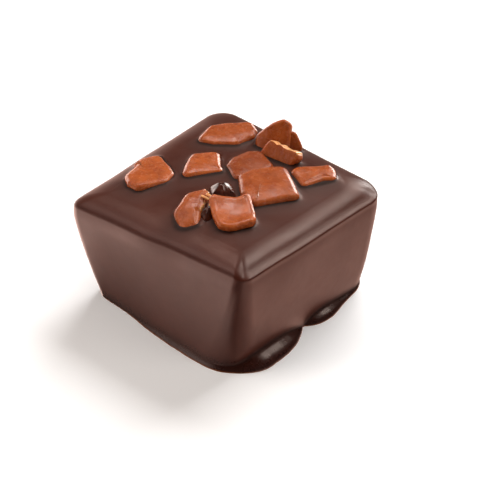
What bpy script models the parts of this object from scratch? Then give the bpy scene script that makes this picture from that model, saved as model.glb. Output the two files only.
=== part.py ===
"""Square dark chocolate bonbon with a ganache core, topped with eleven caramel chips.

The coat is one solid: a block that widens upwards, a soft rolled edge, a gently crowned top, and the
feet of chocolate that ran out along the floor. The chips are rounded tiles that lie in shallow
pockets in the top, flat, leaning or half upright. Every size is in millimetres until MM turns it
into metres. The origin is on the floor under the middle of the bonbon. The face that carries the
two feet looks along +X, and the face beside it looks along -Y.
"""
import math

import bmesh
import bpy
from mathutils import Euler, Matrix, Vector

MM = 0.001

# The block: the corners run left, front, right, back, seen from between -Y and +X
RIM_CORNERS = ((-12.0, -12.6), (12.5, -12.1), (12.5, 11.8), (-12.8, 12.7))
BASE_CORNERS = ((-10.9, -10.6), (10.7, -12.0), (10.7, 11.9), (-10.7, 10.8))
RIM_RADII = (1.5, 1.5, 3.2, 2.6)
BASE_RADII = (2.3, 4.2, 3.4, 3.4)
RIM_HEIGHT = 12.3
WALL_CURVE = 1.35
RIM_TILT_PER_MM = 0.0012
RIM_TWIST_PER_MM2 = -0.00022
WALL_RINGS = 7

# The rolled edge and the crowned top
ROLL_WIDTH = 3.0
ROLL_RISE = 1.3
ROLL_POWER = 1.8
ROLL_TIGHTENING = 0.3
ROLL_RINGS = 5
CROWN_RISE = 0.3
CROWN_REACH = 9.3
CROWN_RINGS = 5

# Points along the outline of the block
ARC_STEPS = 5
SIDE_STEPS = 7
BELOW_FLOOR = 1.0
CUTTER_SIZE = 40.0

# Feet and lumps of chocolate: middle, half sizes along X, Y and Z, and turn in degrees
FEET = (
    ((10.9, -5.5, 0.0), (1.75, 5.1, 1.7), 2.0),
    ((10.8, 3.4, 0.0), (1.25, 3.6, 1.6), 2.0),
    ((10.5, 7.2, 0.0), (0.75, 3.3, 1.3), 4.0),
    ((8.6, -9.1, 0.0), (2.7, 2.5, 1.2), 0.0),
    ((3.0, -10.9, 0.0), (6.4, 1.2, 0.8), -3.0),
)
TOP_LUMPS = (
    ((1.1, -2.3, 13.6), (1.2, 1.3, 1.6), 40.0),
    ((2.9, -6.5, 13.6), (0.8, 0.9, 1.2), 40.0),
)
DROP_SEGMENTS = 20

# The caramel chips and the air between them and the chocolate
CHIP_THICKNESS = 1.3
CHIP_CORNER = 0.8
CHIP_EDGE = 0.38
LEVEL_WITHIN = 0.01
UPRIGHT_OVER = 0.5
GAP = 0.34
CORNER_SEGMENTS = 3
EDGE_SEGMENTS = 2

CHOCOLATE_COLOUR = (0.075, 0.03, 0.02, 1.0)
CHOCOLATE_ROUGHNESS = 0.32
CARAMEL_COLOUR = (0.42, 0.13, 0.045, 1.0)
CARAMEL_ROUGHNESS = 0.4


def clear_scene():
    for item in list(bpy.data.objects):
        bpy.data.objects.remove(item, do_unlink=True)


def new_collection(name):
    group = bpy.data.collections.new(name)
    bpy.context.scene.collection.children.link(group)
    return group


def new_material(name, colour, roughness):
    material = bpy.data.materials.new(name)
    material.use_nodes = True
    shader = material.node_tree.nodes["Principled BSDF"]
    shader.inputs["Base Color"].default_value = colour
    shader.inputs["Roughness"].default_value = roughness
    shader.inputs["Metallic"].default_value = 0.0
    return material


def object_from(mesh_data, name, group, material=None):
    """Turn a bmesh in millimetres into an object in metres."""
    bmesh.ops.recalc_face_normals(mesh_data, faces=mesh_data.faces)
    mesh_data.transform(Matrix.Scale(MM, 4))
    mesh = bpy.data.meshes.new(name)
    mesh_data.to_mesh(mesh)
    mesh_data.free()
    if material:
        mesh.materials.append(material)
    item = bpy.data.objects.new(name, mesh)
    group.objects.link(item)
    return item


def hide_guide(item):
    item.hide_render = True
    item.display_type = "WIRE"


# The block

def mix(low, high, share):
    return tuple(a + (b - a) * share for a, b in zip(low, high))


def rounded_quad(corners, radii):
    """Outline of a four-sided shape with round corners, anticlockwise, as (x, y) points."""
    points = []
    for index, (corner, radius) in enumerate(zip(corners, radii)):
        here = Vector(corner)
        back = (Vector(corners[index - 1]) - here).normalized()
        ahead = (Vector(corners[(index + 1) % 4]) - here).normalized()
        half_angle = back.angle(ahead) / 2
        centre = here + (back + ahead).normalized() * (radius / math.sin(half_angle))
        start = here + back * (radius / math.tan(half_angle)) - centre
        turn = math.pi - 2 * half_angle
        for step in range(ARC_STEPS + 1):
            angle = turn * step / ARC_STEPS
            cosine = math.cos(angle)
            sine = math.sin(angle)
            offset = Vector((start.x * cosine - start.y * sine, start.x * sine + start.y * cosine))
            points.append(tuple(centre + offset))
    return points


def with_side_points(points):
    """Add evenly spaced points along the straight side that follows each round corner."""
    full = []
    for index, point in enumerate(points):
        full.append(point)
        if index % (ARC_STEPS + 1) == ARC_STEPS:
            following = points[(index + 1) % len(points)]
            full += [mix(point, following, step / SIDE_STEPS) for step in range(1, SIDE_STEPS)]
    return full


def ring_at(height):
    """Outline of the wall at a height: round at the base, crisp and wider at the rim."""
    share = 1 - (1 - max(height, 0) / RIM_HEIGHT) ** WALL_CURVE
    corners = [mix(base, rim, share) for base, rim in zip(BASE_CORNERS, RIM_CORNERS)]
    return with_side_points(rounded_quad(corners, mix(BASE_RADII, RIM_RADII, share)))


def tilted(x, y, height):
    """The real block is a little higher at its front corner than at the left and right ones."""
    share = max(height, 0) / RIM_HEIGHT
    return height * (1 + (RIM_TILT_PER_MM * x + RIM_TWIST_PER_MM2 * x * y) * min(share, 1))


def top_height(x, y):
    """Height of the crowned top above the floor, without any lump or pocket."""
    share = max(abs(x), abs(y)) / CROWN_REACH
    return tilted(x, y, RIM_HEIGHT + ROLL_RISE + CROWN_RISE * (1 - share ** 2))


def roll_ring(share):
    """Ring of the rolled edge: share 0 is the rim, share 1 the border of the crowned top."""
    inset = ROLL_WIDTH * (1 - (1 - share ** ROLL_POWER) ** (1 / ROLL_POWER))
    corners = [(x - math.copysign(inset, x), y - math.copysign(inset, y)) for x, y in RIM_CORNERS]
    radii = [radius - ROLL_TIGHTENING * inset for radius in RIM_RADII]
    return with_side_points(rounded_quad(corners, radii)), RIM_HEIGHT + ROLL_RISE * share


def block_rings():
    """All rings from under the floor to the middle of the top, as lists of points."""
    rings = []
    heights = [-BELOW_FLOOR] + [RIM_HEIGHT * step / WALL_RINGS for step in range(1, WALL_RINGS + 1)]
    for height in heights:
        rings.append([(x, y, tilted(x, y, height)) for x, y in ring_at(height)])
    for step in range(1, ROLL_RINGS + 1):
        outline, height = roll_ring(math.sin(step / ROLL_RINGS * math.pi / 2))
        rings.append([(x, y, tilted(x, y, height)) for x, y in outline])
    border, _ = roll_ring(1.0)
    for step in range(1, CROWN_RINGS):
        share = 1 - step / CROWN_RINGS
        inner = [(x * share, y * share) for x, y in border]
        rings.append([(x, y, top_height(x, y)) for x, y in inner])
    return rings


def build_block(group, material):
    """Loft the rings, because the base and the rim are unlike sections."""
    mesh_data = bmesh.new()
    rows = [[mesh_data.verts.new(point) for point in ring] for ring in block_rings()]
    for lower, upper in zip(rows, rows[1:]):
        count = len(lower)
        for index in range(count):
            following = (index + 1) % count
            mesh_data.faces.new((lower[index], lower[following], upper[following], upper[index]))
    mesh_data.faces.new(list(reversed(rows[0])))
    middle = mesh_data.verts.new((0, 0, top_height(0, 0)))
    last = rows[-1]
    for index in range(len(last)):
        mesh_data.faces.new((last[index], last[(index + 1) % len(last)], middle))
    return object_from(mesh_data, "chocolate_coat", group, material)


def build_drop(name, middle, half_sizes, turn, group):
    """A flattened ball of chocolate that is joined to the block."""
    mesh_data = bmesh.new()
    bmesh.ops.create_uvsphere(mesh_data, u_segments=DROP_SEGMENTS, v_segments=DROP_SEGMENTS // 2,
                              radius=1.0)
    mesh_data.transform(Matrix.Diagonal((*half_sizes, 1.0)))
    mesh_data.transform(Matrix.Rotation(math.radians(turn), 4, "Z"))
    mesh_data.transform(Matrix.Translation(middle))
    item = object_from(mesh_data, name, group)
    hide_guide(item)
    return item


def build_floor_cutter(group):
    mesh_data = bmesh.new()
    bmesh.ops.create_cube(mesh_data, size=CUTTER_SIZE)
    mesh_data.transform(Matrix.Translation((0, 0, -CUTTER_SIZE / 2)))
    item = object_from(mesh_data, "floor_cutter", group)
    hide_guide(item)
    return item


# The chips

def rise_of(edge):
    return abs(edge.verts[0].co.z - edge.verts[1].co.z)


def chip_bmesh(size, taper, skew, grow):
    """A tile with round corners and soft edges; grow makes it larger on every side."""
    mesh_data = bmesh.new()
    bmesh.ops.create_cube(mesh_data, size=1.0)
    for corner in mesh_data.verts:
        width = 1 - taper if corner.co.y > 0 else 1
        along = corner.co.y * size[1]
        side = math.copysign(grow, corner.co.x)
        corner.co.z = corner.co.z * CHIP_THICKNESS - CHIP_THICKNESS / 2 + math.copysign(grow, corner.co.z)
        corner.co.x = corner.co.x * size[0] * width + skew * along + side
        corner.co.y = along + math.copysign(grow, corner.co.y)
    upright = [edge for edge in mesh_data.edges if rise_of(edge) > UPRIGHT_OVER]
    bmesh.ops.bevel(mesh_data, geom=upright, offset=CHIP_CORNER, segments=CORNER_SEGMENTS,
                    profile=0.5, affect="EDGES")
    flat = [edge for edge in mesh_data.edges if rise_of(edge) < LEVEL_WITHIN]
    bmesh.ops.bevel(mesh_data, geom=flat, offset=CHIP_EDGE, segments=EDGE_SEGMENTS,
                    profile=0.5, affect="EDGES")
    return mesh_data


class Chip:
    """One caramel chip: the middle of its upper face, its size, and how it leans and turns.

    lift is the height of that middle above the chocolate, and size is its length and width.
    """

    def __init__(self, name, at, lift, size, taper=0.0, skew=0.0, lean=(0, 0), turn=0):
        self.name = name
        self.outline = (size, taper, skew)
        angles = [math.radians(value) for value in (*lean, turn)]
        middle = (*at, top_height(*at) + lift)
        self.place = Matrix.Translation(middle) @ Euler(angles).to_matrix().to_4x4()

    def build(self, group, material):
        mesh_data = chip_bmesh(*self.outline, 0.0)
        mesh_data.transform(self.place)
        return object_from(mesh_data, self.name, group, material)

    def build_pocket(self, group):
        mesh_data = chip_bmesh(*self.outline, GAP)
        mesh_data.transform(self.place)
        item = object_from(mesh_data, self.name + "_pocket", group)
        hide_guide(item)
        return item


CHIPS = (
    Chip("caramel_chip_01", (-8.1, -4.0), 0.65, (4.4, 5.2), -0.2, -0.5, (-2, -3), -27),
    Chip("caramel_chip_02", (-4.6, 0.9), 0.62, (5.2, 4.2), 0.42, 0.33, (0, 0), 55),
    Chip("caramel_chip_03", (-7.0, 7.4), 0.65, (4.4, 4.8), 0.0, -0.46, (0, -3), 101),
    Chip("caramel_chip_04", (-1.0, 8.7), 1.2, (3.8, 3.9), 0.35, 0.15, (55, 0), 27),
    Chip("caramel_chip_05", (0.4, 10.1), 0.85, (2.0, 2.6), 0.2, 0.0, (58, 0), 60),
    Chip("caramel_chip_06", (0.9, 7.0), 0.75, (4.3, 2.4), 0.1, 0.15, (60, 0), 3),
    Chip("caramel_chip_07", (-0.8, 3.9), 0.6, (6.0, 4.0), 0.23, 0.41, (0, 0), 85),
    Chip("caramel_chip_08", (3.8, 1.9), 0.9, (6.8, 5.3), 0.09, -0.12, (0, 0), -34),
    Chip("caramel_chip_09", (5.8, 7.2), 0.65, (4.3, 4.3), 0.42, 0.07, (0, 3), -29),
    Chip("caramel_chip_10", (4.7, -4.9), 1.05, (4.2, 4.8), 0.0, -0.2, (10, 0), 44),
    Chip("caramel_chip_11", (0.8, -7.1), 0.85, (3.2, 4.0), 0.14, 0.6, (10, -8), 67),
)

# Which chip gives way, with the chip whose pocket is cut from it
GIVES_WAY = (
    ("caramel_chip_07", "caramel_chip_08"),
    ("caramel_chip_09", "caramel_chip_08"),
    ("caramel_chip_04", "caramel_chip_06"),
    ("caramel_chip_05", "caramel_chip_04"),
    ("caramel_chip_07", "caramel_chip_04"),
    ("caramel_chip_07", "caramel_chip_06"),
    ("caramel_chip_09", "caramel_chip_06"),
    ("caramel_chip_08", "caramel_chip_10"),
)


def cut_with(item, name, operation, cutter=None, cutters=None):
    """The exact solver leaves a chip open where two pockets cross in it, so all cuts use the manifold one."""
    modifier = item.modifiers.new(name, "BOOLEAN")
    modifier.operation = operation
    modifier.solver = "MANIFOLD"
    if cutters:
        modifier.operand_type = "COLLECTION"
        modifier.collection = cutters
    else:
        modifier.object = cutter


def main():
    clear_scene()
    parts = new_collection("ganache_bonbon")
    drops = new_collection("chocolate_drops")
    pockets = new_collection("chip_pockets")
    guides = new_collection("floor_guide")
    chocolate = new_material("dark_chocolate", CHOCOLATE_COLOUR, CHOCOLATE_ROUGHNESS)
    caramel = new_material("caramel", CARAMEL_COLOUR, CARAMEL_ROUGHNESS)

    coat = build_block(parts, chocolate)
    for number, (middle, half_sizes, turn) in enumerate(FEET + TOP_LUMPS, 1):
        build_drop(f"drop_{number}", middle, half_sizes, turn, drops)

    chips = {chip.name: chip.build(parts, caramel) for chip in CHIPS}
    cutters = {chip.name: chip.build_pocket(pockets) for chip in CHIPS}
    floor = build_floor_cutter(guides)

    cut_with(coat, "join_drops", "UNION", cutters=drops)
    cut_with(coat, "cut_pockets", "DIFFERENCE", cutters=pockets)
    cut_with(coat, "flat_bottom", "DIFFERENCE", cutter=floor)
    for lower, upper in GIVES_WAY:
        cut_with(chips[lower], f"clear_of_{upper}", "DIFFERENCE", cutter=cutters[upper])


main()
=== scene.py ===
"""Finished look of the dark chocolate ganache bonbon with caramel chips.

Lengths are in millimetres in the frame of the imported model, until MM turns them into metres.
The coat is one fine mesh: a wall and a rolled edge of rings, and a top patch that rises to each chip.
Each caramel chip is a soft tile with its own corners, lean and flaws.
"""
import math

import bpy
import numpy as np
from mathutils import Euler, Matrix, Vector, geometry, noise


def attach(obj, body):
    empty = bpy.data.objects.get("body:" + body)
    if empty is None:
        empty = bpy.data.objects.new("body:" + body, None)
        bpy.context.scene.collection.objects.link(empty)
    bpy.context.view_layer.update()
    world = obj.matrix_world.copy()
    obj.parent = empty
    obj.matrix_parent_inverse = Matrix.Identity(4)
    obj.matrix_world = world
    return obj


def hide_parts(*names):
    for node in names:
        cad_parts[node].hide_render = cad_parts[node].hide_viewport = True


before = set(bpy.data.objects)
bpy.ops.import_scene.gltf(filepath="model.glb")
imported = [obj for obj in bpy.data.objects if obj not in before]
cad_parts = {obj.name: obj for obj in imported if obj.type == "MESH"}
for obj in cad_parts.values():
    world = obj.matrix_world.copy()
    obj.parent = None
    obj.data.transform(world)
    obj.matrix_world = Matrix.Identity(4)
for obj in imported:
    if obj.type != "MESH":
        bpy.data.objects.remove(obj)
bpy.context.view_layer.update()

MM = 0.001

# The block, with the sizes that the solids have: corners run left, front, right, back
RIM_CORNERS = ((-12.0, -12.6), (12.5, -12.1), (12.5, 11.8), (-12.8, 12.7))
BASE_CORNERS = ((-10.9, -10.6), (10.7, -12.0), (10.7, 11.9), (-10.7, 10.8))
RIM_RADII = (1.5, 1.5, 3.2, 2.6)
BASE_RADII = (2.3, 4.2, 3.4, 3.4)
RIM_HEIGHT = 12.3
WALL_CURVE = 1.35
RIM_TILT_PER_MM = 0.0012
RIM_TWIST_PER_MM2 = -0.00022
ROLL_WIDTH = 3.0
ROLL_RISE = 1.3
ROLL_POWER = 1.4
ROLL_POWER_RIGHT = 1.9
ROLL_FULLNESS = 2.2
ROLL_FULLNESS_RIGHT = 1.05
ROLL_TIGHTENING = 0.3
RIGHT_SIDE_GAIN = 1.6
RIGHT_SIDE_START = 0.3
RIM_DRAW_IN = 0.16
RIM_TURN_HEIGHT = 1.6
CROWN_RISE = 0.3
CROWN_REACH = 9.3
CHIP_THICKNESS = 1.3
MOST_OF_SIDE = 0.48

# How finely the pieces are divided
ARC_STEPS = 24
SIDE_STEPS = 130
FOOT_RINGS = 22
BLEND_RINGS = 6
WALL_RINGS = 22
WALL_CROWDING = 1.8
ROLL_RINGS = 26
ROLL_CROWDING = 1.7
CHIP_ARC_STEPS = 10
CHIP_SIDE_STEPS = 12
CHIP_FACE_RINGS = 16
CHIP_EDGE_RINGS = 9
LUMP_ARC_STEPS = 5
LUMP_SIDE_STEPS = 8
LUMP_RINGS = 24
STRAND_STEPS = 8
STRAND_SIDES = 12

# Plan outline of the chocolate that ran out on the floor, from the left corner round the front
FLOOR_EDGE = (
    (-10.6, -9.8), (-10.0, -10.4), (-8.8, -10.7), (-7.3, -10.8), (-4.6, -11.12), (-2.0, -11.65),
    (0.8, -12.0), (3.7, -12.2), (6.8, -12.3), (8.7, -12.1), (10.4, -11.1), (11.6, -10.0),
    (12.4, -8.7), (12.65, -6.8), (12.5, -4.6), (12.2, -3.1), (11.6, -1.7), (10.95, -0.6),
    (10.6, -0.15), (11.2, 0.35), (11.8, 1.6), (12.0, 3.3), (11.75, 4.7), (11.35, 6.0),
    (11.15, 7.4), (11.0, 8.6), (10.6, 9.8), (9.9, 10.8), (8.4, 12.0), (6.0, 12.3),
    (3.0, 12.0), (0.5, 12.3), (-2.5, 12.0), (-5.5, 11.6), (-8.0, 11.0), (-9.9, 10.1),
    (-10.9, 8.0), (-11.3, 5.0), (-11.0, 2.5), (-11.5, -1.0), (-11.4, -4.0), (-11.2, -7.0),
)
FLOOR_EDGE_ROUNDS = 3
FOOT_TOP = 2.8
FOOT_LEAST_REACH = 0.04
FOOT_LEAST_HEIGHT = 0.12
FOOT_SLOPE = 0.68
FOOT_LEAST_SLOPE = 0.45
FOOT_BODY = 0.88
FOOT_FALL = 0.6
FOOT_FALL_POWER = 1.2
FOOT_EDGE_POWER = 6
FOOT_FILLET_REACH = 0.1
# Painted shade in the crease where the lobes meet the wall: how far it reaches up the wall, and out along the
# lobe
JUNCTION_REACH = 0.4
JUNCTION_SHARE = 0.1
FLARE_SHARE = 0.3
LOBE_FACING = 0.72
LOBE_FADE = 0.25

# Bead of chocolate along the rim, with a shallow valley above it
BEAD_HEIGHT = 0.13
BEAD_WIDTH = 0.3
BEAD_OUTWARD_ON_WALL = 0.95
BEAD_OUTWARD_ON_ROLL = 0.6
ROLL_LENGTH_SHARE = 1.2
VALLEY_DEPTH = 0.22
VALLEY_PLACE = 0.85
VALLEY_WIDTH = 0.35

# How the chocolate climbs the chips, and the shade painted on it beside them
TOP_FROM_SHARE = 0.98
MENISCUS_RISE = 0.14
MENISCUS_REACH = 0.25
MENISCUS_REACH_UNDER = 0.5
SWELL_RISE = 0.08
SWELL_REACH = 1.6
WET_REACH = 0.28
CONTACT_SHADE = 0.8
SOFT_SHADE = 0.5
SOFT_SHADE_REACH = 1.4
SHADED_SIDE = (0.35, -0.94)
SHADE_STEP = 0.1
SHADE_LEAST = 0.2
SHADE_GAIN = 1.2

# Smooth bumps as height and size; the heights of FOOT_WAVE and MENISCUS_WAVE are shares
FOOT_WAVE = (0.06, 1.6)
FOOT_RIPPLE = (0.015, 0.6)
MENISCUS_WAVE = (0.35, 1.1)
SIDE_WAVE = (0.16, 6.5)
TOP_WAVE = (0.07, 4.5)
WAVE_FADE = 3.0
OUTLINE_WAVE = (0.07, 1.3)
OUTLINE_RIPPLE = (0.03, 0.5)
TEAR_WAVE = (0.22, 0.45)
TEAR_RIPPLE = (0.14, 0.18)
TEAR_GRAIN = (0.12, 0.22)
FACE_WAVE = (0.08, 2.0)
FACE_RIPPLE = (0.02, 0.7)
LUMP_WAVE = (0.05, 0.6)
STRAND_WAVE = (0.05, 0.4)

# Caramel chips: their corners, torn sides, the shade painted low on their sides, and their dark specks
CORNER_SOFTNESS = 1.15
TORN_WIDTH = 0.5
TORN_FADE = 0.2
TORN_REACH_LOSS = 0.8
TORN_DROP_LOSS = 0.7
CENTRE_SHARE = 0.06
DISH_AREA = 6.0
# Painted shade low on the chips' sides, near the chocolate: its height, its depth below the face, and how
# much it darkens
CHIP_SHADE_HEIGHT = 0.16
CHIP_SHADE_DEPTH = 0.3
CHIP_SHADE_LOSS = 0.7
FOOTPRINT_LEVELS = (-0.6, 0.25)
SPECKS = ((1.70, 1.13, 14.9), (5.75, -1.12, 14.7), (7.28, -6.62, 14.9))
SPECK_RADII = (0.08, 0.16)

# Dark lumps on the top: place, scale, tip, height, corner radius and corners
LUMP_ROOT = 0.5
LUMP_FULLNESS = (2.2, 0.75)
LUMPS = {
    "chocolate_bump": (
        (1.1, -2.3), 1.3, (-0.25, 0.15), 1.25, 0.15,
        ((-1.3, -0.4), (-0.2, -1.3), (1.0, -0.9), (1.3, 0.3), (0.3, 1.2), (-0.9, 0.9))),
    "chocolate_crumb": (
        (2.9, -6.6), 1.0, (-0.3, 0.5), 1.1, 0.2,
        ((-0.7, -0.8), (0.5, -1.1), (1.0, 0.2), (0.2, 1.1), (-0.7, 0.6))),
}

# Paths and half widths of the strands between the two chips at the front
STRANDS = (
    (((0.9, -4.6, 14.9), (1.9, -4.75, 15.05), (2.9, -4.6, 15.0)), (0.16, 0.11, 0.16)),
    (((1.9, -4.75, 15.05), (2.15, -5.3, 14.95), (2.5, -5.9, 14.7)), (0.12, 0.09, 0.14)),
    (((0.7, -5.2, 14.9), (1.7, -5.2, 15.0), (2.15, -5.3, 14.95)), (0.15, 0.09, 0.1)),
)

# Camera of the photograph: azimuth and elevation in degrees, distance in millimetres, focal length
CAMERA_AZIMUTH = 41.925
CAMERA_ELEVATION = 34.641
CAMERA_ROLL = 0.255
CAMERA_DISTANCE = 170.0
CAMERA_AIM = (0.0, 0.0, 5.61)
CAMERA_LENS = 116.4
CAMERA_SENSOR = 36.0
CAMERA_CLIP_START = 10.0
IMAGE_SIZE = 480
AIM_PIXEL = (230.22, 245.82)

# Floor, just under the bonbon
FLOOR_HALF = 900.0
FLOOR_DROP = 0.02
FLOOR_GLOW = 0.12

# Strip on the floor that dims what the left face reflects: two opposite corners, and how it fades
FLAG_CORNERS = ((-17.5, -21.5), (11.0, -10.6))
FLAG_FADE = 8.0
FLAG_LEAST = 0.05
FLAG_GLOW = (2.0, 1.33, 1.13)

# Glow low in the studio, with azimuths in degrees from the X axis, and the colour of the rest
LEFT_GLOW_AZIMUTH = 190.0
RIGHT_GLOW_AZIMUTH = 48.0
LEFT_GLOW_COLOUR = (4.7, 3.1, 2.65)
RIGHT_GLOW_COLOUR = (1.15, 0.66, 0.53)
DIM_COLOUR = (0.05, 0.034, 0.029)

# Distance of the lights, and colours that several of them share
LIGHT_DISTANCE = 700.0
WARM = (1.0, 0.95, 0.9)
ROSY = (1.0, 0.72, 0.62)


def top_height(x, y):
    """Height of the crowned top above the floor; x and y may be arrays."""
    share = np.maximum(np.abs(x), np.abs(y)) / CROWN_REACH
    return tilted(x, y, RIM_HEIGHT + ROLL_RISE + CROWN_RISE * (1 - share ** 2))


def tilted(x, y, height):
    """The height after the block's slight tilt and twist, which start at the floor."""
    share = np.clip(height / RIM_HEIGHT, 0, 1)
    return height * (1 + (RIM_TILT_PER_MM * x + RIM_TWIST_PER_MM2 * x * y) * share)


def noise_at(points, scale, seed):
    """Smooth noise between about -1 and 1 at each point, for bumps of the given size."""
    shift = Vector((seed * 7.3, seed * 3.1, seed * 5.7))
    return np.array([noise.noise(Vector(point) / scale + shift) for point in points])


def bumps(points, shape, seed):
    """Smooth bumps of the given shape, which is their height and their size."""
    height, size = shape
    return height * noise_at(points, size, seed)


# Outlines

def rounded_outline(corners, radii, arc_steps, side_steps):
    """Anticlockwise outline with an arc at each corner, hollow ones too, and points along each side."""
    count = len(corners)
    arcs = []
    for index, (corner, radius) in enumerate(zip(corners, radii)):
        here = np.array(corner, float)
        back = np.array(corners[index - 1]) - here
        ahead = np.array(corners[(index + 1) % count]) - here
        back_length = np.linalg.norm(back)
        ahead_length = np.linalg.norm(ahead)
        back = back / back_length
        ahead = ahead / ahead_length
        half_angle = math.acos(np.clip(back @ ahead, -1, 1)) / 2
        reach = min(radius / math.tan(half_angle), MOST_OF_SIDE * back_length, MOST_OF_SIDE * ahead_length)
        radius = reach * math.tan(half_angle)
        middle = (back + ahead) / np.linalg.norm(back + ahead)
        centre = here + middle * (radius / math.sin(half_angle))
        start = here + back * reach - centre
        side = 1 if ahead[0] * back[1] - ahead[1] * back[0] > 0 else -1
        angles = side * (math.pi - 2 * half_angle) * np.linspace(0, 1, arc_steps + 1)
        cosines = np.cos(angles)
        sines = np.sin(angles)
        turned = np.stack([start[0] * cosines - start[1] * sines, start[0] * sines + start[1] * cosines], 1)
        arcs.append(centre + turned)
    points = []
    for index, arc in enumerate(arcs):
        points.append(arc)
        share = np.linspace(0, 1, side_steps + 1)[1:-1, None]
        points.append(arc[-1] + (arcs[(index + 1) % count][0] - arc[-1]) * share)
    return np.concatenate(points)


def softened(polygon, rounds):
    """The closed polygon with its corners cut a few times."""
    for _ in range(rounds):
        ahead = np.roll(polygon, -1, 0)
        polygon = np.stack([0.75 * polygon + 0.25 * ahead, 0.25 * polygon + 0.75 * ahead], 1).reshape(-1, 2)
    return polygon


def outward_normals(outline):
    """Unit normals of an anticlockwise outline."""
    along = np.roll(outline, -1, 0) - np.roll(outline, 1, 0)
    along /= np.linalg.norm(along, axis=1)[:, None]
    return np.stack([along[:, 1], -along[:, 0]], 1)


# The coat

def side_outline(share):
    """Outline of the side: share 0 is at the floor, 1 at the rim."""
    corners = np.array(BASE_CORNERS) * (1 - share) + np.array(RIM_CORNERS) * share
    radii = np.array(BASE_RADII) * (1 - share) + np.array(RIM_RADII) * share
    return rounded_outline(corners, radii, ARC_STEPS, SIDE_STEPS)


def side_share(height):
    """Share of the side's flare that is reached at this height."""
    return 1 - (1 - height / RIM_HEIGHT) ** WALL_CURVE


def foot_reach(outline, normals):
    """How far the chocolate on the floor stands out from each point of the base outline."""
    edge_from = softened(np.array(FLOOR_EDGE), FLOOR_EDGE_ROUNDS)
    edge = np.roll(edge_from, -1, 0) - edge_from
    gap = edge_from[None] - outline[:, None]
    turn = normals[:, None, 0] * edge[None, :, 1] - normals[:, None, 1] * edge[None, :, 0]
    along_normal = (gap[..., 0] * edge[None, :, 1] - gap[..., 1] * edge[None, :, 0]) / turn
    along_edge = (gap[..., 0] * normals[:, None, 1] - gap[..., 1] * normals[:, None, 0]) / turn
    hit = (along_edge >= 0) & (along_edge <= 1) & (along_normal > -1) & (along_normal < 4)
    return np.where(hit, along_normal, -1).max(1)


def foot_rings():
    """Rings of the foot, which stands out in lobes, and of the wall above it, with the shade painted where
    the lobes meet the wall.
    """
    base = side_outline(0)
    above = side_outline(side_share(FOOT_TOP))
    normals = outward_normals(base)
    reach = np.maximum(foot_reach(base, normals), FOOT_LEAST_REACH)
    flat = np.column_stack([base, np.zeros(len(base))])
    reach = reach * (1 + bumps(flat, FOOT_WAVE, 11)) + bumps(flat, FOOT_RIPPLE, 12)
    reach = np.maximum(reach, FOOT_LEAST_REACH)
    lobed = np.clip((normals[:, 0] - LOBE_FACING) / LOBE_FADE, 0, 1)
    slope = FOOT_LEAST_SLOPE + (FOOT_SLOPE - FOOT_LEAST_SLOPE) * lobed
    flare = reach * FLARE_SHARE * (1 - lobed)
    reach = reach - flare
    top = FOOT_LEAST_HEIGHT + slope * reach

    def wall_at(height):
        rest = 1 - height / FOOT_TOP
        return above + (base - above) * rest[:, None] + normals * (flare * rest ** 2)[:, None]

    rings = []
    dark = []
    for stand in np.sin(np.linspace(math.pi / 2, 0, FOOT_RINGS)):
        body = FOOT_BODY * (1 - FOOT_FALL * stand ** FOOT_FALL_POWER) * (1 - stand ** FOOT_EDGE_POWER) ** 0.5
        fillet = (1 - FOOT_BODY) * math.exp(-stand / FOOT_FILLET_REACH)
        height = top * (body + fillet - (1 - FOOT_BODY) * math.exp(-1 / FOOT_FILLET_REACH))
        rings.append(np.column_stack([wall_at(height) + normals * (reach * stand)[:, None], height]))
        dark.append(lobed * math.exp(-(stand / JUNCTION_SHARE) ** 2))
    top = rings[-1][:, 2]
    for share in np.linspace(0, 1, BLEND_RINGS + 1)[1:]:
        height = top + (FOOT_TOP - top) * share
        rings.append(np.column_stack([wall_at(height), height]))
        dark.append(lobed * np.exp(-((height - top) / JUNCTION_REACH) ** 2))
    return rings, np.concatenate(dark)


def bead(distance):
    """Height of the bead across the rim, for a distance from it along the surface."""
    ridge = math.exp(-(distance / BEAD_WIDTH) ** 2)
    valley = VALLEY_DEPTH * math.exp(-((distance - VALLEY_PLACE) / VALLEY_WIDTH) ** 2)
    return BEAD_HEIGHT * (ridge - valley)


def with_bead(outline, height, distance, outward):
    """Ring at this height with the bead added on its right side; outward is the plan share of its lift."""
    normals = outward_normals(outline)
    lift = bead(distance) * np.clip(normals[:, 0], 0, 1) ** 2
    plan = outline + normals * (lift * outward)[:, None]
    return np.column_stack([plan, height + lift * math.sqrt(1 - outward ** 2)])


def rounded_over(outline, share):
    """The outline drawn in where the wall starts to turn over into the roll."""
    return outline - outward_normals(outline) * (RIM_DRAW_IN * share ** 2)


def wall_ring(height):
    """Ring of the wall, with the start of the bead near the rim."""
    outline = side_outline(side_share(height))
    outline = rounded_over(outline, max(0.0, 1 + (height - RIM_HEIGHT) / RIM_TURN_HEIGHT))
    return with_bead(outline, height, height - RIM_HEIGHT, BEAD_OUTWARD_ON_WALL)


def roll_ring(share):
    """Ring of the rolled edge: share 0 is the rim, share 1 the border of the top patch."""
    inset = ROLL_WIDTH * share
    corners = [(x - math.copysign(inset, x), y - math.copysign(inset, y)) for x, y in RIM_CORNERS]
    radii = [radius - ROLL_TIGHTENING * inset for radius in RIM_RADII]
    outline = rounded_over(rounded_outline(corners, radii, ARC_STEPS, SIDE_STEPS), 1.0)
    right = np.clip(outward_normals(outline)[:, 0] * RIGHT_SIDE_GAIN - RIGHT_SIDE_START, 0, 1)
    fullness = ROLL_FULLNESS + (ROLL_FULLNESS_RIGHT - ROLL_FULLNESS) * right
    power = ROLL_POWER + (ROLL_POWER_RIGHT - ROLL_POWER) * right
    rise = ROLL_RISE * (1 - (1 - share) ** power) ** (1 / fullness)
    return with_bead(outline, RIM_HEIGHT + rise, inset * ROLL_LENGTH_SHARE, BEAD_OUTWARD_ON_ROLL)


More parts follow.
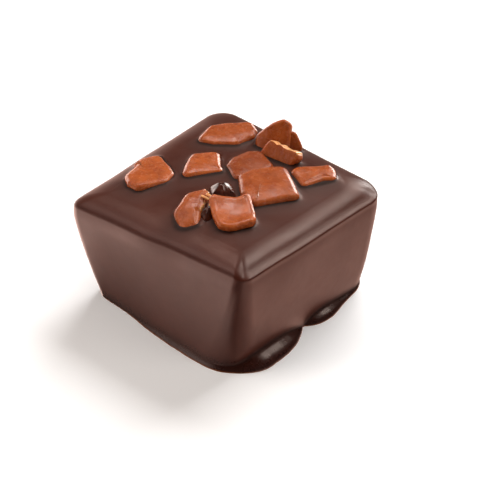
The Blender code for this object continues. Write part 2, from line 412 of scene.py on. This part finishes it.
def patch_grid(border):
    """Square grid of points inside a border ring, blended from its four sides."""
    steps = len(border) // 4
    ring = np.roll(border, -(ARC_STEPS // 2), 0)
    low = ring[0:steps + 1]
    right = ring[steps:2 * steps + 1]
    high = ring[2 * steps:3 * steps + 1][::-1]
    left = np.concatenate([ring[3 * steps:], ring[:1]])[::-1]
    u = np.linspace(0, 1, steps + 1)[None, :, None]
    v = np.linspace(0, 1, steps + 1)[:, None, None]
    across = left[:, None] * (1 - u) + right[:, None] * u
    along = low[None] * (1 - v) + high[None] * v
    mixed = (low[0] * (1 - u) * (1 - v) + low[-1] * u * (1 - v)
             + high[0] * (1 - u) * v + high[-1] * u * v)
    return across + along - mixed


def distance_outside(points, hull):
    """Signed distance of plan points from a convex outline, negative inside."""
    edge = np.roll(hull, -1, 0) - hull
    length = np.linalg.norm(edge, axis=1)
    away = points[:, None] - hull[None]
    share = np.clip((away * edge).sum(2) / length ** 2, 0, 1)
    nearest = np.linalg.norm(away - share[..., None] * edge[None], axis=2).min(1)
    side = (edge[:, 0] * away[..., 1] - edge[:, 1] * away[..., 0]).min(1)
    return np.where(side > 0, -nearest, nearest)


def chip_relief(points, footprints):
    """Height that the chocolate gains near the chips, how near each point is, and the shade painted there."""
    rise = np.zeros(len(points))
    wet = np.zeros(len(points))
    dark = np.zeros(len(points))
    front = np.array(SHADED_SIDE)
    flat = np.column_stack([points[:, :2], np.zeros(len(points))])
    uneven = 1 + bumps(flat, MENISCUS_WAVE, 3)
    for hull in footprints:
        gap = distance_outside(points[:, :2], hull)
        outside = np.maximum(gap, 0)
        under = np.exp(-(gap / MENISCUS_REACH_UNDER) ** 2)
        near = np.where(gap > 0, np.exp(-outside / MENISCUS_REACH), under)
        swell = SWELL_RISE * np.exp(-(outside / SWELL_REACH) ** 2)
        rise = np.maximum(rise, MENISCUS_RISE * near * uneven + swell)
        close = np.exp(-(outside / WET_REACH) ** 2)
        wet = np.maximum(wet, close)
        # Painted shade: dark close to each chip, and softer further out on the chip's shaded side
        shade = CONTACT_SHADE * close + SOFT_SHADE * np.exp(-(outside / SOFT_SHADE_REACH) ** 2)
        facing = (distance_outside(points[:, :2] + front * SHADE_STEP, hull) - gap) / SHADE_STEP
        dark = np.maximum(dark, shade * np.clip(SHADE_LEAST + SHADE_GAIN * facing, 0, 1))
    return rise, wet, dark


def make_object(name, points, faces, material, node):
    """A smooth mesh piece that rides on the bonbon in place of a node; points are in millimetres."""
    mesh = bpy.data.meshes.new(name)
    mesh.from_pydata((np.asarray(points) * MM).tolist(), [], faces)
    mesh.update()
    mesh.shade_smooth()
    mesh.materials.append(material)
    piece = bpy.data.objects.new(name, mesh)
    bpy.context.scene.collection.objects.link(piece)
    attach(piece, "root")
    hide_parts(node)
    return piece


def set_attribute(piece, name, values):
    piece.data.attributes.new(name, "FLOAT", "POINT").data.foreach_set("value", values)


def stack_faces(rings, count):
    """Quads that join a stack of rings with this many points each."""
    return [(first + i, first + (i + 1) % count, first + count + (i + 1) % count, first + count + i)
            for first in range(0, (rings - 1) * count, count) for i in range(count)]


def closed_stack(rings):
    """Points and faces of a stack of rings, with a flat face at both ends."""
    points = np.concatenate(rings)
    count = len(rings[0])
    faces = stack_faces(len(rings), count)
    faces.append(tuple(reversed(range(count))))
    faces.append(tuple(range(len(points) - count, len(points))))
    return points, faces


def build_coat(material, footprints):
    """Make the coat, which rises to the outline of each chip."""
    rings, dark = foot_rings()
    shares = 1 - (1 - np.linspace(0, 1, WALL_RINGS + 1)[1:]) ** WALL_CROWDING
    rings += [wall_ring(FOOT_TOP + (RIM_HEIGHT - FOOT_TOP) * share) for share in shares]
    shares = np.linspace(0, 1, ROLL_RINGS + 1)[1:] ** ROLL_CROWDING
    rings += [roll_ring(share) for share in shares]
    count = len(rings[0])
    border_start = (len(rings) - 1) * count
    sides = np.concatenate(rings)
    grid = patch_grid(rings[-1])
    points = np.concatenate([sides, grid[1:-1, 1:-1].reshape(-1, 3)])
    points[:, 2] = tilted(points[:, 0], points[:, 1], points[:, 2])
    points[border_start:, 2] = top_height(points[border_start:, 0], points[border_start:, 1])
    points += coat_waves(points)
    upper = points[:, 2] > RIM_HEIGHT * TOP_FROM_SHARE
    wet = np.zeros(len(points))
    dark = np.concatenate([dark, np.zeros(len(points) - len(dark))])
    rise, wet[upper], dark[upper] = chip_relief(points[upper], footprints)
    points[upper, 2] += rise

    faces = stack_faces(len(rings), count)
    faces += patch_faces(len(grid), border_start, count, len(sides))
    faces.append(tuple(reversed(range(count))))
    coat = make_object("chocolate_shell", points, faces, material, "chocolate_coat")
    set_attribute(coat, "wet", wet)
    # dark holds the painted shade: beside the chips, and where the foot's lobes meet the wall
    set_attribute(coat, "dark", dark)


def patch_faces(size, border_start, count, inner_start):
    """Quads of the top patch, whose border is the last ring."""
    steps = size - 1
    shift = ARC_STEPS // 2

    def index_at(row, column):
        if 0 < row < steps and 0 < column < steps:
            return inner_start + (row - 1) * (size - 2) + column - 1
        if row == 0:
            place = column
        elif column == steps:
            place = steps + row
        elif row == steps:
            place = 3 * steps - column
        else:
            place = 4 * steps - row
        return border_start + (place + shift) % count

    return [(index_at(r, c), index_at(r, c + 1), index_at(r + 1, c + 1), index_at(r + 1, c))
            for r in range(steps) for c in range(steps)]


def coat_waves(points):
    """Slow waves in the set chocolate, which fade out at the floor."""
    fade = np.clip(points[:, 2] / WAVE_FADE, 0, 1)
    side = bumps(points, SIDE_WAVE, 1) * fade
    direction = points[:, :2] / np.maximum(np.linalg.norm(points[:, :2], axis=1), 1)[:, None]
    level = bumps(points, TOP_WAVE, 2) * fade
    return np.column_stack([direction * side[:, None], level])


# The chips

class Chip:
    """A caramel tile: middle of its upper face, corners in its own plane, lean, turn and flaws.

    lift is the height of that middle above the chocolate. Each corner is x, y and its radius.
    dome lowers the border of the tile, dish raises it, bend curls it about its own Y axis, and
    torn names the sides whose edge is a fresh break.
    """

    def __init__(self, number, at, lift, lean, turn, corners, edge=(0.62, 0.5), dome=0.1,
                 dish=0.0, bend=0.0, torn=(), tone=1.0, thickness=CHIP_THICKNESS):
        self.name = f"caramel_tile_{number:02d}"
        self.node = f"caramel_chip_{number:02d}"
        self.seed = number
        self.at = at
        self.lift = lift
        self.lean = lean
        self.turn = turn
        self.corners = [corner[:2] for corner in corners]
        self.radii = [corner[2] * CORNER_SOFTNESS for corner in corners]
        self.edge = edge
        self.dome = dome
        self.dish = dish
        self.bend = bend
        self.torn = torn
        self.tone = tone
        self.thickness = thickness

    def place(self, points):
        """Points of the tile's own plane, leaned, turned and set on the chocolate."""
        angles = [math.radians(value) for value in (*self.lean, self.turn)]
        turned = points @ np.array(Euler(angles).to_matrix()).T
        return turned + (*self.at, float(top_height(*self.at)) + self.lift)

    def torn_share(self, outline):
        """1 along the broken sides of the outline and 0 away from them."""
        share = np.zeros(len(outline))
        for index in self.torn:
            start = np.array(self.corners[index])
            side = np.array(self.corners[(index + 1) % len(self.corners)]) - start
            length = np.linalg.norm(side)
            side = side / length
            away = outline - start
            beside = np.abs(side[0] * away[:, 1] - side[1] * away[:, 0])
            along = away @ side
            ends = np.clip((along + TORN_FADE) / (2 * TORN_FADE), 0, 1)
            ends = ends * np.clip((length + TORN_FADE - along) / (2 * TORN_FADE), 0, 1)
            share = np.maximum(share, np.clip(1 - beside / TORN_WIDTH, 0, 1) * ends)
        return share

    def shell(self):
        """Points, faces, share of torn surface and depth below the face, in the tile's own plane."""
        outline = rounded_outline(self.corners, self.radii, CHIP_ARC_STEPS, CHIP_SIDE_STEPS)
        count = len(outline)
        torn = self.torn_share(outline)
        flat = np.column_stack([outline, np.full(count, self.seed * 5.0)])
        wobble = bumps(flat, OUTLINE_WAVE, self.seed) + bumps(flat, OUTLINE_RIPPLE, self.seed + 20)
        ragged = bumps(flat, TEAR_WAVE, self.seed + 40) + bumps(flat, TEAR_RIPPLE, self.seed + 60)
        normals = outward_normals(outline)
        outline = outline + normals * (wobble + ragged * torn)[:, None]
        centre = outline.mean(0)
        reach, drop = self.edge
        reach = reach * (1 - TORN_REACH_LOSS * torn)
        drop = drop * (1 - TORN_DROP_LOSS * torn)
        rings = []
        ring_torn = []

        def add_ring(plan, level, share):
            rings.append(np.column_stack([plan, np.broadcast_to(level, count)]))
            ring_torn.append(torn * share)

        def edge_plan(angle):
            return outline - normals * (reach * (1 - math.cos(angle)))[:, None]

        crest = edge_plan(math.pi / 2)
        inward = np.linspace(CENTRE_SHARE, 1, CHIP_FACE_RINGS)
        angles = np.linspace(0, math.pi / 2, CHIP_EDGE_RINGS)
        floor = -self.thickness - self.dome
        for share in inward[:-1]:
            add_ring(centre + (crest - centre) * share, floor, 0)
        for angle in angles[::-1]:
            add_ring(edge_plan(angle), floor + drop * (1 - math.sin(angle)), math.cos(angle))
        for share in (0.33, 0.67):
            add_ring(outline, (floor + drop) * (1 - share) - (self.dome + drop) * share, 1)
        for angle in angles:
            add_ring(edge_plan(angle), -self.dome - drop * (1 - math.sin(angle)), math.cos(angle))
        for share in inward[-2::-1]:
            add_ring(centre + (crest - centre) * share, -self.dome * share ** 3, 0)
        points, faces = closed_stack(rings)
        return points, faces, np.concatenate(ring_torn), -points[:, 2]

    def formed(self):
        """The tile with its dish, bend and lumps, at its place on the bonbon."""
        points, faces, torn, depth = self.shell()
        x = points[:, 0]
        y = points[:, 1]
        points[:, 2] += self.dish * (x ** 2 + y ** 2) / DISH_AREA - self.bend * x ** 2
        lumps = np.column_stack([points[:, :2], points[:, 2] + self.seed * 9.0])
        points[:, 2] += bumps(lumps, FACE_WAVE, self.seed + 3) + bumps(lumps, FACE_RIPPLE, self.seed + 9)
        points[:, 2] += bumps(lumps, TEAR_GRAIN, self.seed + 5) * torn
        return self.place(points), faces, torn, depth


CHIPS = (
    Chip(1, (-8.1, -4.0), 0.65, (-2, -3), -27,
         ((-3.2, 2.4, 0.8), (-3.0, 0.0, 0.9), (-2.1, -1.1, 0.2), (-1.7, -0.9, 0.2),
          (0.0, -2.8, 0.8), (1.7, -3.0, 1.0), (3.3, -2.4, 0.6), (2.9, 1.2, 1.2), (1.5, 2.5, 0.9))),
    Chip(2, (-4.6, 0.9), 0.62, (0, 0), 55,
         ((-3.2, -2.5, 0.7), (1.9, -2.5, 0.6), (1.7, -1.1, 1.0), (2.3, 1.9, 0.7),
          (-0.9, 2.0, 0.6), (-1.9, 0.5, 1.5))),
    Chip(3, (-7.0, 7.4), 0.65, (0, -3), 101,
         ((-3.3, 2.3, 0.9), (-3.0, 0.0, 1.2), (-1.9, -2.3, 1.2), (0.5, -3.2, 1.0),
          (1.8, -2.9, 0.7), (3.1, -1.5, 0.7), (1.4, 1.2, 2.0), (0.2, 2.4, 0.7)), tone=0.85),
    Chip(4, (-1.0, 8.7), 1.2, (55, 0), 27,
         ((-2.5, -1.8, 0.5), (1.6, -2.0, 0.5), (1.45, 2.0, 0.6), (0.6, 2.4, 0.8),
          (-0.6, 1.9, 1.2), (-2.4, 0.4, 0.8)), edge=(0.4, 0.4), dome=0.0, bend=0.1, tone=0.85),
    Chip(5, (0.2, 10.0), 0.9, (62, 0), 42,
         ((-1.2, -1.4, 0.4), (1.0, -1.4, 0.4), (1.2, -0.6, 0.4), (0.5, 1.1, 0.4), (-0.8, 1.4, 0.4)),
         edge=(0.3, 0.3), dome=0.0, tone=0.8),
    Chip(6, (1.0, 7.0), 0.8, (62, 0), 3,
         ((-2.6, -0.6, 0.4), (-1.9, -1.8, 0.4), (1.2, -1.7, 0.8), (2.3, 0.2, 0.3),
          (2.1, 0.8, 0.2), (-1.9, 1.0, 0.3)), edge=(0.3, 0.3), dome=0.0, torn=(4,)),
    Chip(7, (-0.7, 3.8), 0.65, (0, 0), 85,
         ((-3.7, -2.0, 0.8), (1.7, -2.4, 0.6), (2.8, 1.0, 0.8), (1.6, 2.0, 0.8),
          (-0.7, 2.1, 1.5), (-2.1, 1.4, 0.9)), tone=0.52),
    Chip(8, (3.8, 1.9), 0.9, (0, 0), -34,
         ((-3.0, 2.8, 0.9), (-3.3, -1.0, 2.0), (-2.4, -2.8, 0.8), (1.2, -3.4, 0.7),
          (3.7, -2.6, 0.5), (3.2, 2.6, 0.6)), edge=(0.75, 0.55), dome=0.15, tone=0.8),
    Chip(9, (5.8, 7.2), 0.65, (0, 3), -29,
         ((-1.8, -2.5, 0.8), (2.4, -2.4, 0.5), (1.6, 0.3, 0.8), (2.0, 1.7, 0.6),
          (0.2, 2.4, 0.9), (-1.0, 2.1, 0.6)), tone=0.9),
    Chip(10, (4.7, -4.9), 1.05, (10, 0), 44,
         ((-2.5, 2.2, 0.6), (-2.1, -0.3, 2.0), (-1.6, -2.7, 1.0), (-0.2, -3.2, 1.0),
          (2.4, -2.2, 0.8), (2.3, -0.6, 2.0), (1.9, 2.4, 0.5), (0.6, 1.8, 1.0)),
         edge=(0.65, 0.52), dome=0.0, dish=0.3),
    Chip(11, (0.8, -7.1), 0.85, (10, -8), 67,
         ((-2.7, -2.8, 0.8), (-0.2, -2.9, 0.7), (0.9, -0.9, 1.5), (2.6, 0.9, 0.4),
          (2.8, 2.1, 0.3), (0.6, 2.2, 1.1), (-1.8, 0.4, 1.5)), torn=(2, 3), bend=0.03, tone=0.8),
)


def build_chips(material, toppings):
    """Make every chip, list it, and return the outline that each one leaves in the chocolate."""
    footprints = []
    for chip in CHIPS:
        points, faces, torn, depth = chip.formed()
        piece = make_object(chip.name, points, faces, material, chip.node)
        toppings.append(piece)
        above = points[:, 2] - top_height(points[:, 0], points[:, 1])
        # Painted shade: each tile darkens low on its sides, near the chocolate, through its tone
        chip_shade = np.clip((CHIP_SHADE_HEIGHT - above) / CHIP_SHADE_HEIGHT, 0, 1) * np.clip(depth / CHIP_SHADE_DEPTH, 0, 1)
        set_attribute(piece, "torn", torn)
        set_attribute(piece, "tone", chip.tone * (1 - CHIP_SHADE_LOSS * chip_shade))
        low, high = FOOTPRINT_LEVELS
        sunk = np.unique(points[(above < high) & (above > low)][:, :2].round(2), axis=0)
        order = geometry.convex_hull_2d([Vector(point) for point in sunk])
        footprints.append(sunk[order])
    return footprints


def build_lump(name, material):
    """A small lump of chocolate with soft facets that rise to an off-centre tip."""
    at, scale, tip, height, radius, corners = LUMPS[name]
    outline = rounded_outline(corners, [radius] * len(corners), LUMP_ARC_STEPS, LUMP_SIDE_STEPS) * scale
    low_power, tip_power = LUMP_FULLNESS
    rings = []
    for share in np.linspace(0, 1, LUMP_RINGS + 1)[:-1]:
        width = (1 - share ** low_power) ** tip_power
        plan = outline * width + np.array(tip) * share
        level = np.full(len(outline), -LUMP_ROOT + (height + LUMP_ROOT) * share)
        rings.append(np.column_stack([plan, level]))
    points, faces = closed_stack(rings)
    points[:, 2] += bumps(points, LUMP_WAVE, 31)
    points += (*at, float(top_height(*at)))
    return make_object(name, points, faces, material, "chocolate_coat")


def tube(path, widths, seed):
    """Points and faces of a round strand along a path, with closed ends."""
    path = np.array(path, float)
    share = np.linspace(0, len(path) - 1, STRAND_STEPS * (len(path) - 1) + 1)
    index = np.arange(len(path))
    line = np.column_stack([np.interp(share, index, path[:, axis]) for axis in range(3)])
    line += np.column_stack([bumps(line, STRAND_WAVE, seed + axis) for axis in range(3)])
    width = np.interp(share, index, widths)[:, None]
    along = np.gradient(line, axis=0)
    along /= np.linalg.norm(along, axis=1)[:, None]
    across = np.cross(along, (0.3, 0.2, 1.0))
    across /= np.linalg.norm(across, axis=1)[:, None]
    upward = np.cross(across, along)
    turns = np.linspace(0, 2 * math.pi, STRAND_SIDES + 1)[:-1]
    lines = [line + (across * math.cos(turn) + upward * math.sin(turn)) * width for turn in turns]
    return closed_stack(list(np.stack(lines, 1)))


def build_strands(material):
    """The pale strands that still join two of the chips."""
    points = []
    faces = []
    total = 0
    for number, (path, widths) in enumerate(STRANDS):
        strand, quads = tube(path, widths, 70 + 5 * number)
        faces += [tuple(index + total for index in face) for face in quads]
        points.append(strand)
        total += len(strand)
    points = np.concatenate(points)
    piece = make_object("caramel_strands", points, faces, material, "caramel_chip_11")
    set_attribute(piece, "torn", np.ones(total))
    set_attribute(piece, "tone", np.ones(total))
    return piece


# Materials

def fill(links, node, inputs):
    """Give a node its inputs: a socket is linked, and any other value is set."""
    for key, value in inputs.items():
        if isinstance(value, bpy.types.NodeSocket):
            links.new(value, node.inputs[key])
        else:
            node.inputs[key].default_value = value


class Nodes:
    """Short ways to add nodes to the tree of a material or of the world."""

    def __init__(self, owner, coordinates):
        owner.use_nodes = True
        self.tree = owner.node_tree
        self.place = self.add("TexCoord", coordinates, {})

    def add(self, kind, output, inputs, **settings):
        """Add a node with these inputs and settings, and return one of its outputs."""
        node = self.tree.nodes.new("ShaderNode" + kind)
        for name, value in settings.items():
            setattr(node, name, value)
        fill(self.tree.links, node, inputs)
        return node.outputs[output]

    def end(self, name, inputs):
        """Give its inputs to a node that is in the tree from the start."""
        fill(self.tree.links, self.tree.nodes[name], inputs)

    def noise(self, size_mm, detail=3.0, roughness=0.55):
        scale = 1 / (size_mm * MM)
        return self.add("TexNoise", "Fac", {
            "Vector": self.place, "Scale": scale, "Detail": detail, "Roughness": roughness})

    def ramp(self, value, low, high, first, last, kind="LINEAR"):
        return self.add("MapRange", "Result", {
            "Value": value, "From Min": low, "From Max": high, "To Min": first, "To Max": last},
            interpolation_type=kind)

    def mix(self, share, first, second):
        """Mix two colours, each given as numbers or as a socket."""
        first, second = ((*value, 1) if isinstance(value, tuple) else value for value in (first, second))
        return self.add("Mix", 2, {"Factor": share, 6: first, 7: second}, data_type="RGBA")

    def calculate(self, operation, first, second):
        return self.add("Math", 0, {0: first, 1: second}, operation=operation)

    def scaled(self, vector, share):
        return self.add("VectorMath", 0, {0: vector, "Scale": share}, operation="SCALE")

    def added(self, first, second):
        return self.add("VectorMath", 0, {0: first, 1: second}, operation="ADD")

    def bump(self, height, distance_mm, strength, below=None):
        inputs = {"Height": height, "Distance": distance_mm * MM, "Strength": strength}
        if below is not None:
            inputs["Normal"] = below
        return self.add("Bump", "Normal", inputs)

    def attribute(self, name):
        return self.add("Attribute", "Fac", {}, attribute_name=name)

    def distance(self, spot):
        spot = [value * MM for value in spot]
        return self.add("VectorMath", "Value", {0: self.place, 1: spot}, operation="DISTANCE")

    def axis(self, name):
        return self.add("SeparateXYZ", name, {0: self.place})


def new_material(name):
    material = bpy.data.materials.new(name)
    return material, Nodes(material, "Object")


def wet_chocolate_material():
    material, nodes = new_material("dark_chocolate_glossy")
    cloud = nodes.ramp(nodes.noise(0.5, 3), 0.4, 0.6, 0, 1)
    nodes.end("Principled BSDF", {
        "Base Color": nodes.mix(cloud, (0.03, 0.008, 0.005), (0.06, 0.015, 0.008)),
        "Roughness": 0.16,
        "Normal": nodes.bump(nodes.noise(0.6, 3), 0.1, 0.3),
        "Specular IOR Level": 0.5,
    })
    return material


def chocolate_material():
    material, nodes = new_material("dark_chocolate_satin")
    height = nodes.axis("Z")
    wet = nodes.attribute("wet")
    dark = nodes.attribute("dark")
    cloud = nodes.ramp(nodes.noise(3.5, 4), 0.35, 0.65, 0, 1)
    colour = nodes.mix(cloud, (0.046, 0.0098, 0.0052), (0.056, 0.0128, 0.0068))
    # Painted shade: the chocolate darkens towards the floor, in place of the shadowed floor it reflects there
    painted_floor_shade = nodes.ramp(height, 0.3 * MM, 1.6 * MM, 1, 0)
    colour = nodes.mix(painted_floor_shade, colour, (0.024, 0.007, 0.005))
    thin_edge = nodes.ramp(height, 0.02 * MM, 0.14 * MM, 1, 0)
    colour = nodes.mix(thin_edge, colour, (0.25, 0.085, 0.03))
    # Painted shade beside the chips and where the foot's lobes meet the wall
    colour = nodes.mix(nodes.calculate("MULTIPLY", dark, 0.9), colour, (0.010, 0.003, 0.002))
    rough = nodes.ramp(height, 0.9 * MM, 2.2 * MM, 0.28, 0.34)
    rough = nodes.calculate("SUBTRACT", rough, nodes.calculate("MULTIPLY", wet, 0.1))
    rough = nodes.calculate("ADD", rough, nodes.calculate("MULTIPLY", dark, 0.35))
    uneven = nodes.ramp(nodes.noise(1.2, 4), 0.3, 0.7, -0.03, 0.03)
    grain = nodes.bump(nodes.noise(0.14, 3), 0.03, 0.12)
    nodes.end("Principled BSDF", {
        "Base Color": colour,
        "Roughness": nodes.calculate("ADD", rough, uneven),
        "Normal": nodes.bump(nodes.noise(0.9, 2), 0.12, 0.06, grain),
        "Specular IOR Level": 0.5,
    })
    return material


def caramel_material():
    material, nodes = new_material("caramel_soft")
    cloud = nodes.ramp(nodes.noise(1.1, 4), 0.35, 0.65, 0, 1)
    colour = nodes.mix(cloud, (0.26, 0.049, 0.010), (0.40, 0.089, 0.019))
    grains = nodes.ramp(nodes.noise(0.35, 4, 0.75), 0.44, 0.56, 0, 1)
    colour = nodes.mix(nodes.calculate("MULTIPLY", grains, 0.4), colour, (0.46, 0.125, 0.04))
    # Darker for each chip's own tone, and with the painted shade low on its sides
    tone_and_shade = nodes.ramp(nodes.attribute("tone"), 0, 1, 1, 0)
    colour = nodes.mix(tone_and_shade, colour, (0.10, 0.018, 0.008))
    torn = nodes.ramp(nodes.attribute("torn"), 0.1, 0.6, 0, 0.9)
    colour = nodes.mix(torn, colour, (0.80, 0.40, 0.16))
    inner, outer = SPECK_RADII
    for speck in SPECKS:
        near = nodes.ramp(nodes.distance(speck), inner * MM, outer * MM, 0.9, 0)
        colour = nodes.mix(near, colour, (0.03, 0.01, 0.006))
    nodes.end("Principled BSDF", {
        "Base Color": colour,
        "Roughness": nodes.ramp(nodes.noise(0.5, 3), 0.35, 0.65, 0.2, 0.3),
        "Normal": nodes.bump(nodes.noise(0.3, 4, 0.6), 0.08, 0.1),
        "Subsurface Weight": 0.2,
        "Subsurface Radius": (0.9 * MM, 0.35 * MM, 0.15 * MM),
        "Subsurface Scale": 1.0,
        "Specular IOR Level": 0.38,
    })
    return material


# Stage

def build_camera():
    """The camera, at the photograph's place and focal length."""
    azimuth = math.radians(CAMERA_AZIMUTH)
    elevation = math.radians(CAMERA_ELEVATION)
    roll = math.radians(CAMERA_ROLL)
    back = Vector((math.sin(azimuth) * math.cos(elevation), -math.cos(azimuth) * math.cos(elevation),
                   math.sin(elevation)))
    right = Vector((math.cos(azimuth), math.sin(azimuth), 0))
    up = back.cross(right)
    level_right = right * math.cos(roll) - up * math.sin(roll)
    level_up = right * math.sin(roll) + up * math.cos(roll)
    data = bpy.data.cameras.new("camera")
    data.lens = CAMERA_LENS
    data.sensor_width = CAMERA_SENSOR
    data.clip_start = CAMERA_CLIP_START * MM
    data.shift_x = (IMAGE_SIZE / 2 - AIM_PIXEL[0]) / IMAGE_SIZE
    data.shift_y = (AIM_PIXEL[1] - IMAGE_SIZE / 2) / IMAGE_SIZE
    camera = bpy.data.objects.new("camera", data)
    bpy.context.scene.collection.objects.link(camera)
    matrix = camera.matrix_world
    for row in range(3):
        matrix[row][0] = level_right[row]
        matrix[row][1] = level_up[row]
        matrix[row][2] = back[row]
        matrix[row][3] = (CAMERA_AIM[row] + back[row] * CAMERA_DISTANCE) * MM
    camera.matrix_world = matrix
    bpy.context.scene.camera = camera


def sheet(name, low, high, material):
    """A flat rectangle at height 0, from one plan corner to the opposite one."""
    mesh = bpy.data.meshes.new(name)
    corners = ((low[0], low[1]), (high[0], low[1]), (high[0], high[1]), (low[0], high[1]))
    mesh.from_pydata([(x * MM, y * MM, 0.0) for x, y in corners], [], [(0, 1, 2, 3)])
    mesh.materials.append(material)
    rectangle = bpy.data.objects.new(name, mesh)
    bpy.context.scene.collection.objects.link(rectangle)
    return rectangle


def build_floor():
    """The pale floor, which the chocolate doesn't reflect: its faces reflect the studio instead."""
    material = bpy.data.materials.new("floor_white")
    material.use_nodes = True
    fill(material.node_tree.links, material.node_tree.nodes["Principled BSDF"], {
        "Base Color": (0.95, 0.95, 0.95, 1),
        "Roughness": 0.9,
        "Specular IOR Level": 0.1,
        "Emission Color": (1.0, 0.99, 0.97, 1),
        "Emission Strength": FLOOR_GLOW,
    })
    floor = sheet("floor", (-FLOOR_HALF, -FLOOR_HALF), (FLOOR_HALF, FLOOR_HALF), material)
    floor.location.z = -FLOOR_DROP * MM
    floor.visible_glossy = False


def build_flag():
    """A strip on the floor that only reflections see, so that the left face darkens downwards."""
    low, high = FLAG_CORNERS
    material, nodes = new_material("flag_dim")
    near_wall = nodes.ramp(nodes.axis("Y"), low[1] * MM, high[1] * MM, 1.0, FLAG_LEAST)
    near_corner = nodes.ramp(nodes.axis("X"), low[0] * MM, (low[0] + FLAG_FADE) * MM, 1.0, 0.0)
    nodes.end("Principled BSDF", {
        "Base Color": (0.01, 0.01, 0.01, 1),
        "Roughness": 1.0,
        "Emission Color": (*FLAG_GLOW, 1),
        "Emission Strength": nodes.calculate("MAXIMUM", near_wall, near_corner),
    })
    flag = sheet("flag", low, high, material)
    flag.visible_camera = False
    flag.visible_diffuse = False
    flag.visible_shadow = False


def add_area_light(name, direction, size, power, colour, shiny=True, only=()):
    """A light that looks at the bonbon: a card that shows only in reflections, or a soft box for shading."""
    data = bpy.data.lights.new(name, "AREA")
    data.shape = "RECTANGLE"
    data.size = size[0] * MM
    data.size_y = size[1] * MM
    data.energy = power
    data.color = colour
    light = bpy.data.objects.new(name, data)
    light.location = Vector(direction).normalized() * LIGHT_DISTANCE * MM
    light.rotation_euler = (-Vector(direction)).to_track_quat("-Z", "Y").to_euler()
    light.visible_glossy = shiny
    light.visible_diffuse = not shiny
    bpy.context.scene.collection.objects.link(light)
    if only:
        lit = bpy.data.collections.new(name + "_lit")
        for piece in only:
            lit.objects.link(piece)
        light.light_linking.receiver_collection = lit


def build_world():
    """A dim studio, with a warm glow low on both sides for the faces to reflect."""
    world = bpy.data.worlds.new("studio")
    nodes = Nodes(world, "Generated")
    height = nodes.axis("Z")

    def toward(azimuth):
        angle = math.radians(azimuth)
        along_x = nodes.calculate("MULTIPLY", nodes.axis("X"), math.cos(angle))
        along_y = nodes.calculate("MULTIPLY", nodes.axis("Y"), math.sin(angle))
        return nodes.calculate("ADD", along_x, along_y)

    def window(value, low, high):
        return nodes.ramp(value, low, high, 0, 1, "SMOOTHSTEP")

    def both(first, second):
        return nodes.calculate("MULTIPLY", first, second)

    left = both(window(toward(LEFT_GLOW_AZIMUTH), 0.35, 0.9), window(height, -0.82, -0.64))
    left = both(left, window(height, 0.5, -0.6))
    right = both(window(toward(RIGHT_GLOW_AZIMUTH), -0.2, 0.3), window(height, -0.98, -0.76))
    right = both(right, window(height, 0.1, -0.6))
    glow = nodes.added(nodes.scaled(LEFT_GLOW_COLOUR, left), nodes.scaled(RIGHT_GLOW_COLOUR, right))
    nodes.end("Background", {"Color": nodes.added(glow, DIM_COLOUR), "Strength": 1.0})
    bpy.context.scene.world = world


def build_lights(toppings):
    """Soft boxes for the shading, and cards for the highlights, three of them for the toppings alone."""
    add_area_light("key", (-0.12, 0.68, 0.72), (520, 400), 6.4, (1.0, 0.985, 0.98), shiny=False)
    add_area_light("key_gloss", (0.08, 0.61, 0.78), (260, 220), 1.2, (1.0, 0.82, 0.72))
    add_area_light("back_sheen", (-0.2, 0.85, 0.48), (220, 220), 0.6, ROSY)
    add_area_light("right_sheen", (-0.35, 0.61, 0.71), (140, 140), 0.1, ROSY)
    add_area_light("left_sheen", (-0.52, 0.3, 0.8), (160, 160), 0.5, (1.0, 0.68, 0.58))
    add_area_light("left_gloss", (-0.55, -0.2, 0.81), (360, 200), 0.6, (1.0, 0.72, 0.64))
    add_area_light("corner_gloss", (-0.19, 0.94, 0.29), (120, 120), 0.7, (1.0, 0.96, 0.92))
    add_area_light("side_left", (-0.78, -0.68, 0.6), (500, 400), 3.1, WARM, shiny=False)
    add_area_light("side_right", (0.95, 0.1, 0.6), (500, 400), 1.9, WARM, shiny=False)
    add_area_light("top_gloss", (-0.34, 0.42, 0.84), (90, 90), 0.45, (1.0, 0.9, 0.88), only=toppings)
    add_area_light("back_gloss", (-0.2, 0.96, 0.16), (360, 360), 2.8, WARM, only=toppings)
    add_area_light("far_left_gloss", (-0.94, 0.27, 0.14), (400, 400), 1.5, WARM, only=toppings)


def main():
    bpy.context.scene.view_settings.view_transform = "Standard"
    toppings = []
    chocolate = chocolate_material()
    caramel = caramel_material()
    footprints = build_chips(caramel, toppings)
    build_coat(chocolate, footprints)
    glossy = wet_chocolate_material()
    toppings += [build_lump(name, glossy) for name in LUMPS]
    toppings.append(build_strands(caramel))
    build_camera()
    build_floor()
    build_flag()
    build_world()
    build_lights(toppings)


main()
